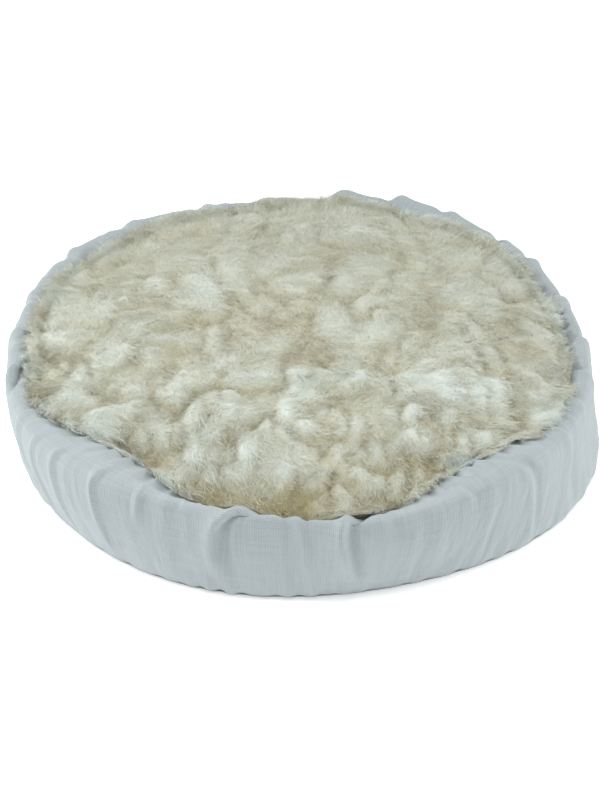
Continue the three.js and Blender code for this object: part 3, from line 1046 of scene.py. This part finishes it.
class RimTop:
    """Height of the rim's upper face at an angle and radius, from its highest points in a polar grid."""

    def __init__(self, rows, steps=180, low=200.0, pitch=2.75, count=26):
        self.steps, self.low, self.pitch, self.count = steps, low, pitch, count
        radius = np.hypot(rows[..., 0], rows[..., 1])
        turn = np.arctan2(rows[..., 0], -rows[..., 1]) % TURN
        i = (turn / TURN * steps).astype(int) % steps
        j = ((radius - low) / pitch).astype(int).clip(0, count - 1)
        grid = np.zeros((steps, count))
        np.maximum.at(grid, (i, j), rows[..., 2])
        grid = np.maximum(grid, np.maximum(np.roll(grid, 1, axis=0), np.roll(grid, -1, axis=0)))
        for j in reversed(range(count // 2)):
            grid[:, j] = np.where(grid[:, j] < 40, grid[:, j + 1], grid[:, j])
        self.grid = grid

    def at(self, angle, radius):
        x = (angle / TURN * self.steps - 0.5) % self.steps
        y = ((radius - self.low) / self.pitch - 0.5).clip(0, self.count - 1.001)
        i, j = x.astype(int), y.astype(int)
        s, t = x - i, y - j
        i = i % self.steps
        after = (i + 1) % self.steps
        near = self.grid[i, j] * (1 - t) + self.grid[i, j + 1] * t
        return near * (1 - s) + (self.grid[after, j] * (1 - t) + self.grid[after, j + 1] * t) * s


def wool_lumps(x, y):
    """Tufted relief of the fleece from -1 to 1: lumps a few centimetres across over a slow swell."""
    warp_x = x + 10 * value_noise(x / 31 + 3, y / 31 + 8, 11)
    warp_y = y + 10 * value_noise(x / 31 + 21, y / 31 + 2, 12)
    lumps = np.abs(layered_noise(warp_x / 30 + 40, warp_y / 38 + 40, 13, 2))
    puffs = 2.3 * lumps.clip(0, 0.8) ** 0.7 - 0.95
    return puffs + 0.35 * value_noise(x / 80 + 9, y / 80 + 9, 14)


def wool_curls(x, y):
    """Small upright curls near the front from -1 to 1, longer front to back than across."""
    bent = x + 3 * value_noise(x / 15 + 2, y / 15 + 6, 71)
    curls = 2.2 * np.abs(value_noise(bent / 14 + 80, y / 23 + 80, 72)) ** 0.7 - 0.9
    return curls * smooth(20, -110, y)


def wool_height(x, y, sizes, rim):
    """Height of the wool's matted surface: a low lumpy dome, which spills over the rim at its edge."""
    radius, angle = np.hypot(x, y), np.arctan2(x, -y) % TURN
    reach = fleece_reach(angle)
    out = np.clip(radius / reach, 0, 1)
    corners = 5.0 * (bump(angle, -40, 15) + bump(angle, 38, 15))
    sinking = (15.0 * bump(angle, -3, 24) + corners) * smooth(0.6, 1.0, out)
    dome = sizes.top - 2.0 - 12.0 * out ** 4 - sinking
    floor = rim.at(angle, radius) + 0.5 - 1.2 * smooth(0.96, 1.0, out)
    over = smooth(200, 212, radius) * (floor + 2.5)
    surface = np.maximum(dome, over)
    fine = layered_noise(x / 9 + 70, y / 11 + 70, 51, 2)
    tufts = 3.3 * wool_lumps(x, y) + fine + 1.9 * wool_curls(x, y)
    calm = 1 - 0.45 * smooth(-20, 150, y)
    surface = surface + tufts * calm * (1 - 0.5 * smooth(0.84, 1.0, out))
    rounding = np.sqrt(1 - (1 - np.clip((reach - radius) / 16, 0, 1)) ** 2)
    lapped = floor + (surface - floor) * rounding
    return np.where(radius > sizes.radius + 1, np.maximum(lapped, floor), surface)


def wool_paleness_and_shade(x, y):
    """How pale the wool is, with painted shade: paler on lumps than in hollows, partly for the beige
    roots that show in the hollows and partly as painted shade there; less painted shade along the front
    edge, where the wool sinks behind the lip and its beige roots show; and darker towards the back, as
    painted shade.
    """
    radius, angle = np.hypot(x, y), np.arctan2(x, -y) % TURN
    # Painted shade, with some beige roots showing, where the wool sinks behind the front lip.
    lip_shade_and_roots = bump(angle, -5, 34) * smooth(0.74, 0.98, radius / fleece_reach(angle))
    # Towards the back the wool is painted darker and flatter: painted shade where less light falls.
    behind = smooth(-20, 170, y)
    # Lumps paler than hollows: partly beige roots in the hollows, partly painted shade.
    relief = wool_lumps(x, y) * (0.9 - 0.5 * behind) + 0.8 * wool_curls(x, y)
    return relief - 2.3 * lip_shade_and_roots - 0.2 * behind


class BED_OT_fleece(PieceOperator):
    """Grow the fleece: the matted under-wool and thousands of strands that hang together in locks"""

    bl_idname = "bed.fleece"
    bl_label = "Grow fleece"

    def execute(self, context):
        sizes, colours = context.scene.fleece_sizes, context.scene.bed_colours
        rim = RimTop(made["wall"])
        self.make_under_wool(sizes, colours, rim)
        tones = self.tone_looks(colours)
        paths, radii, tone = self.grow(sizes, rim)
        sector = ((np.arctan2(paths[:, 0, 0], -paths[:, 0, 1]) % TURN) / TURN * WOOL_PIECES).astype(int)
        for k in range(WOOL_PIECES):
            mine = sector == k
            piece, faces = strands(f"wool_locks_{k + 1}", paths[mine], radii[mine])
            self.finish_piece(piece, tones[0], "cushion", "fleece")
            for look in tones[1:]:
                piece.data.materials.append(look.material)
            self.paint(piece.data, tone[mine], faces, paths.shape[1])
        return {"FINISHED"}

    def make_under_wool(self, sizes, colours, rim):
        """A closed pad from the backing up to the wool's surface, whose edge laps over the rim."""
        angle = ring_angles(720)
        reach = fleece_reach(angle) - 4.0
        out = np.sin(np.linspace(0, math.pi / 2, 96))[:, None] ** 0.85
        radius = reach * out
        x, y = radius * np.sin(angle), -radius * np.cos(angle)
        top = np.stack([x, y, wool_height(x, y, sizes, rim)], axis=-1)
        share = np.linspace(0, 1, 8)[:, None]
        lap = reach * (1 - share) + (sizes.radius + 2.0) * share
        above = rim.at(np.broadcast_to(angle, lap.shape), lap) + 0.3
        above = np.minimum(above, top[-1:, :, 2] - 1.0 + 0 * above)
        lower = place_round(angle[None, :], lap, above)
        inside = sizes.radius * np.linspace(1, 0, 10)[:, None] + 0 * angle
        under = place_round(angle[None, :], inside, backing_height(inside, sizes) - 0.4)
        rows = np.concatenate([top, lower, self.wool_side(lower[-1], under[0]), under])
        pad = ring_surface("under_wool", rows, 1.0)
        # The attribute holds the wool's paleness with its painted shade: along the front lip, in the
        # hollows and towards the back.
        relief = pad.data.attributes.new("wool_tone_and_shade", "FLOAT", "POINT")
        places = np.empty(len(pad.data.vertices) * 3, dtype=np.float32)
        pad.data.vertices.foreach_get("co", places)
        places = places.reshape(-1, 3).astype(float) / MM
        x, y, z = places.T
        beneath = smooth(1.0, 4.0, wool_height(x, y, sizes, rim) - z)
        matted = 0.9 * layered_noise(x / 6 + 0.24 * z, y / 6 - 0.19 * z, 81) - 0.5
        paleness = wool_paleness_and_shade(x, y) * (1 - beneath) + matted * beneath
        relief.data.foreach_set("value", paleness.astype(np.float32))
        look = Look("matted_wool", 1.0, Sheen_Weight=0.3)
        place = look.place()
        wool_tone_and_shade = look.node("Attribute")
        wool_tone_and_shade.attribute_name = "wool_tone_and_shade"
        tone_and_shade = Value(look.tree, wool_tone_and_shade.outputs["Fac"])
        hairs = look.noise(look.stretched(place, (1, 0.22, 0.22)), 1300.0, 3.0, 0.6)
        specks = look.noise(place, 1500.0, 2.0, 0.6)
        patches = look.noise(place, 26.0, 3.0)
        # The under-wool's colour takes in that painted shade from the attribute.
        share = tone_and_shade * 0.28 + patches * 0.9 + hairs * 0.45 + specks * 0.25 - 0.3
        pale = shaded(colours.wool_tip, 0.97)
        look.set("Base Color", look.mixed_colour(share, colours.wool_root, pale))
        look.set("Normal", look.bumped(hairs + specks * 0.6, 1.6 * MM))
        self.finish_piece(pad, look, "cushion", "fleece", "fleece_pile")

    def wool_side(self, above, below):
        """The wool's upright side between two rings: their straight blend, drawn in by tufted noise."""
        down = np.linspace(0, 1, 18)[1:-1, None, None]
        side = above * (1 - down) + below * down
        x, y, z = np.moveaxis(side, -1, 0)
        tufts = np.abs(layered_noise(x / 8 + 0.14 * z, y / 8 - 0.11 * z, 83))
        drawn_in = 2.2 * (1 - tufts.clip(0, 0.5) * 2) * np.sin(math.pi * down[..., 0])
        side[..., :2] *= (1 - drawn_in / np.hypot(x, y))[..., None]
        return side

    def tone_looks(self, colours):
        """Wool tones in even steps from the roots' brown-beige to the tips' creamy white."""
        looks = []
        for k in range(WOOL_TONES):
            share = (k / (WOOL_TONES - 1)) ** 0.75
            colour = [r + (t - r) * share for r, t in zip(colours.wool_root, colours.wool_tip)]
            look = Look(f"wool_tone_{k + 1}", 0.85, Sheen_Weight=0.35)
            look.set("Base Color", (*colour, 1))
            looks.append(look)
        return looks

    def grow(self, sizes, rim):
        """Paths, radii and tones of all strands.

        Roots lie on a golden-angle spiral with jitter. Each strand belongs to its nearest lock. It
        leaves along the wool's normal and bends over towards the lock's lean, and its tip draws in to
        the lock's. No part of it lies under the wool's surface, or further out than the wool reaches.
        """
        random = np.random.default_rng(7)
        count = sizes.fibres
        k = np.arange(count)
        turn = k * GOLDEN_TURN + random.normal(0, 0.02, count)
        reach = fleece_reach(turn % TURN) - 4
        spread = reach * np.sqrt((k + 0.5) / count)
        at_edge = random.uniform(0, 1, count) < 0.2
        spread = np.where(at_edge, reach - random.uniform(0, 9, count), spread)
        x, y = spread * np.sin(turn), -spread * np.cos(turn)
        x, y = x + random.normal(0, 1.2, count), y + random.normal(0, 1.2, count)
        lock = self.nearest_lock(x, y, sizes, rim)
        step = 1.5
        height = wool_height(x, y, sizes, rim)
        slope_x = (wool_height(x + step, y, sizes, rim) - height) / step
        slope_y = (wool_height(x, y + step, sizes, rim) - height) / step
        normal = np.stack([-slope_x.clip(-1, 1), -slope_y.clip(-1, 1), np.ones(count)], axis=-1)
        normal /= np.linalg.norm(normal, axis=1, keepdims=True)
        root = np.stack([x, y, height - 0.8], axis=-1)
        lean = lock["lean"][lock["of"]] + random.normal(0, 0.62, (count, 3)) * [1, 1, 0.3]
        length = sizes.pile * lock["length"][lock["of"]] * random.uniform(0.6, 1.2, count)
        t = np.linspace(0, 1, STRAND_RINGS)[None, :, None]
        loose = random.uniform(0, 1, (count, 1, 1)) ** 2
        rise = (0.26 + 0.44 * loose) * (t - 0.35 * t ** 2)
        bend = 0.5 * t ** 1.3
        reach = length[:, None, None]
        paths = root[:, None] + reach * (normal[:, None] * rise + lean[:, None] * bend)
        home = lock["tip"][lock["of"]]
        draw = 0.24 * t ** 1.4
        drawn = paths * (1 - draw * [1, 1, 0.2]) + home[:, None] * draw * [1, 1, 0.2]
        crimp = random.uniform(0.3, 1.0, (count, 1, 1)) * np.sin(
            t * random.uniform(4, 9, (count, 1, 1)) + random.uniform(0, TURN, (count, 1, 1)))
        side = random.normal(0, 1, (count, 1, 3)) * [1, 1, 0.4]
        drawn = drawn + side * crimp * 2.6 * t
        past = np.hypot(drawn[..., 0], drawn[..., 1])
        turned = np.arctan2(drawn[..., 0], -drawn[..., 1]) % TURN
        limit = fleece_reach(turned) + 1.5 + 8 * loose[..., 0] * (1 - bump(turned, -3, 22))
        drawn[..., :2] *= np.minimum(1, limit / np.maximum(past, 1))[..., None]
        surface = wool_height(drawn[..., 0], drawn[..., 1], sizes, rim)
        up, free = t[..., 0], loose[..., 0]
        lowest = surface + (0.3 + 1.2 * free) * up - 0.6 * (1 - up)
        drawn[..., 2] = np.maximum(drawn[..., 2], lowest)
        edge = smooth(-4, 4, np.minimum(past, limit) - fleece_reach(turned))
        settled = surface + (0.3 + 2.5 * free)
        drawn[..., 2] = drawn[..., 2] * (1 - edge) + np.minimum(settled, drawn[..., 2]) * edge
        drawn[..., 2] = drawn[..., 2].clip(None, float(PILE_HIGH[2]) + 8)
        radii = random.uniform(0.10, 0.19, (count, 1)) * (1 - 0.7 * t[:, :, 0] ** 1.5)
        # Each strand's tone follows the wool's paleness, with its painted shade along the front lip, in
        # the hollows and towards the back.
        tone = 2.5 + 1.7 * wool_paleness_and_shade(x, y) + lock["pale"][lock["of"]]
        tone = tone + random.normal(0, 0.35, count)
        return drawn, radii, tone

    def nearest_lock(self, x, y, sizes, rim):
        """Lock centres on a jittered golden-angle spiral, each strand's nearest one, and their lean."""
        random = np.random.default_rng(19)
        count = sizes.locks
        k = np.arange(count)
        turn = k * GOLDEN_TURN
        spread = fleece_reach(turn % TURN) * np.sqrt((k + 0.5) / count)
        cx, cy = spread * np.sin(turn), -spread * np.cos(turn)
        cx, cy = cx + random.normal(0, 4, count), cy + random.normal(0, 4, count)
        of = np.empty(len(x), dtype=int)
        for part in np.array_split(np.arange(len(x)), 16):
            far = (x[part, None] - cx) ** 2 + (y[part, None] - cy) ** 2
            of[part] = far.argmin(axis=1)
        outwards = np.stack([cx, cy], axis=-1) / np.maximum(np.hypot(cx, cy), 1)[:, None]
        near_edge = smooth(0.72, 1.0, np.hypot(cx, cy) / 232)[:, None]
        front = smooth(-60, 120, -cy)[:, None]
        swirl = np.stack(
            [value_noise(cx / 60 + 5, cy / 60 + 5, 41), value_noise(cx / 60 + 30, cy / 60, 42)], axis=-1)
        flat = 0.6 * swirl + front * [0, -0.8] + 0.5 * near_edge * outwards
        flat = flat + random.normal(0, 0.3, (count, 2))
        lean = np.concatenate([flat, np.full((count, 1), 0.05)], axis=1)
        length = random.uniform(0.7, 1.2, count)
        height = wool_height(cx, cy, sizes, rim)
        reach = sizes.pile * length
        tip_x, tip_y = cx + reach * flat[:, 0] * 0.5, cy + reach * flat[:, 1] * 0.5
        tip = np.stack([tip_x, tip_y, height + reach * 0.25], axis=-1)
        pale = random.normal(0, 0.3, count)
        return {"of": of, "lean": lean, "length": length, "tip": tip, "pale": pale}

    def paint(self, mesh, tone, faces, rings):
        """Sets each face's wool tone: paler from root to tip, and paler on lumps than in hollows, partly
        for the beige roots in the hollows and partly as painted shade, with painted shade along the
        front lip and towards the back.
        """
        bands = rings - 1
        band = np.concatenate([np.repeat(np.arange(bands - 1), 6), np.full(3, bands - 1), [0]])
        rise = np.linspace(-0.6, 1.6, bands)[band]
        index = np.rint(tone[:, None] + rise[None, :]).clip(0, WOOL_TONES - 1).astype(np.int32)
        mesh.polygons.foreach_set("material_index", index.ravel()[:len(tone) * faces])


# ------------------------------------------------------------------ stage


# Camera: lens in mm, rise over the floor in degrees, then distance and target in metres.
CAMERA_LENS, CAMERA_RISE, CAMERA_AWAY = 76.5, 35.5, 1.46
CAMERA_TARGET = (-0.002, 0, 0.028)
# Lights: place and size in metres, power in watts and spread in degrees. They face the lit spot.
LIGHTS = {
    "overhead": ((-0.08, -0.48, 1.3), 0.6, 1.12, 60),
    "left_key": ((-1.6, 0.1, 0.9), 1.2, 21, 180),
    "right_side": ((1.9, 0.1, 0.9), 1.2, 22, 180),
}
LIT_SPOT = (-0.03, -0.12, 0.05)
# The studio floor, in mm: half its width, and its height just under the bed.
STAGE_HALF, STAGE_HEIGHT = 6000.0, -0.6


class BED_OT_stage(bpy.types.Operator):
    """Set up the pale floor, the soft light and the camera"""

    bl_idname = "bed.stage"
    bl_label = "Set stage"

    def execute(self, context):
        scene = context.scene
        scene.view_settings.view_transform = "Standard"
        self.make_floor()
        self.make_sky(scene)
        for name, (place, size, power, spread) in LIGHTS.items():
            self.add_light(name, place, size, power, spread)
        camera_data = bpy.data.cameras.new("camera")
        camera = bpy.data.objects.new("camera", camera_data)
        scene.collection.objects.link(camera)
        camera_data.lens = CAMERA_LENS
        elevation, target = math.radians(CAMERA_RISE), np.array(CAMERA_TARGET)
        eye = target + CAMERA_AWAY * np.array([0, -math.cos(elevation), math.sin(elevation)])
        self.aim(camera, eye, target)
        scene.camera = camera
        return {"FINISHED"}

    def aim(self, thing, eye, target):
        """Puts a thing at the eye and turns it to face the target."""
        thing.location = eye
        direction = bpy.context.scene.cursor.location.copy()
        direction[:] = target - eye
        thing.rotation_euler = direction.to_track_quat("-Z", "Y").to_euler()

    def add_light(self, name, place, size, power, spread):
        """Adds a round area light that faces the bed."""
        data = bpy.data.lights.new(name, "AREA")
        data.shape, data.size, data.energy = "DISK", size, power
        data.spread = math.radians(spread)
        light = bpy.data.objects.new(name, data)
        bpy.context.scene.collection.objects.link(light)
        self.aim(light, np.array(place), np.array(LIT_SPOT))

    def make_floor(self):
        """A wide pale floor under the bed."""
        signs = ((-1, -1), (1, -1), (1, 1), (-1, 1))
        points = np.array([[x * STAGE_HALF, y * STAGE_HALF, STAGE_HEIGHT] for x, y in signs])
        floor = new_object("studio_floor", mesh_from("studio_floor", points, np.array([[0, 1, 2, 3]])))
        look = Look("studio_floor", 0.95, Emission_Strength=0.4)
        look.set("Base Color", (0.95, 0.95, 0.95, 1))
        look.set("Emission Color", (1, 1, 1, 1))
        dress(floor, look)

    def make_sky(self, scene):
        """A faint even light from all round."""
        world = bpy.data.worlds.new("studio")
        world.use_nodes = True
        background = world.node_tree.nodes["Background"]
        background.inputs["Color"].default_value = (0.95, 0.98, 1.0, 1)
        background.inputs["Strength"].default_value = 0.33
        scene.world = world


class BED_PT_panel(bpy.types.Panel):
    """Lists the bed's operators and settings"""

    bl_label = "Pet bed"
    bl_idname = "BED_PT_panel"
    bl_space_type = "VIEW_3D"
    bl_region_type = "UI"
    bl_category = "Pet bed"

    def draw(self, context):
        scene = context.scene
        for group in (scene.rim_sizes, scene.fleece_sizes, scene.bed_colours):
            box = self.layout.box()
            for key in group.__annotations__:
                box.prop(group, key)
        for step in STEPS:
            self.layout.operator(step.bl_idname)


SETTINGS = {"rim_sizes": RimSizes, "fleece_sizes": FleeceSizes, "bed_colours": BedColours}
STEPS = (BED_OT_rim, BED_OT_hem, BED_OT_floor, BED_OT_cushion, BED_OT_fleece, BED_OT_stage)


def register():
    for item in (*SETTINGS.values(), *STEPS, BED_PT_panel):
        bpy.utils.register_class(item)
    for name, group in SETTINGS.items():
        setattr(bpy.types.Scene, name, bpy.props.PointerProperty(type=group))


def unregister():
    for name in SETTINGS:
        delattr(bpy.types.Scene, name)
    for item in (BED_PT_panel, *reversed(STEPS), *SETTINGS.values()):
        bpy.utils.unregister_class(item)


def main():
    register()
    bpy.ops.bed.rim()
    bpy.ops.bed.hem()
    bpy.ops.bed.floor()
    bpy.ops.bed.cushion()
    bpy.ops.bed.fleece()
    bpy.ops.bed.stage()


if __name__ == "__main__":
    main()
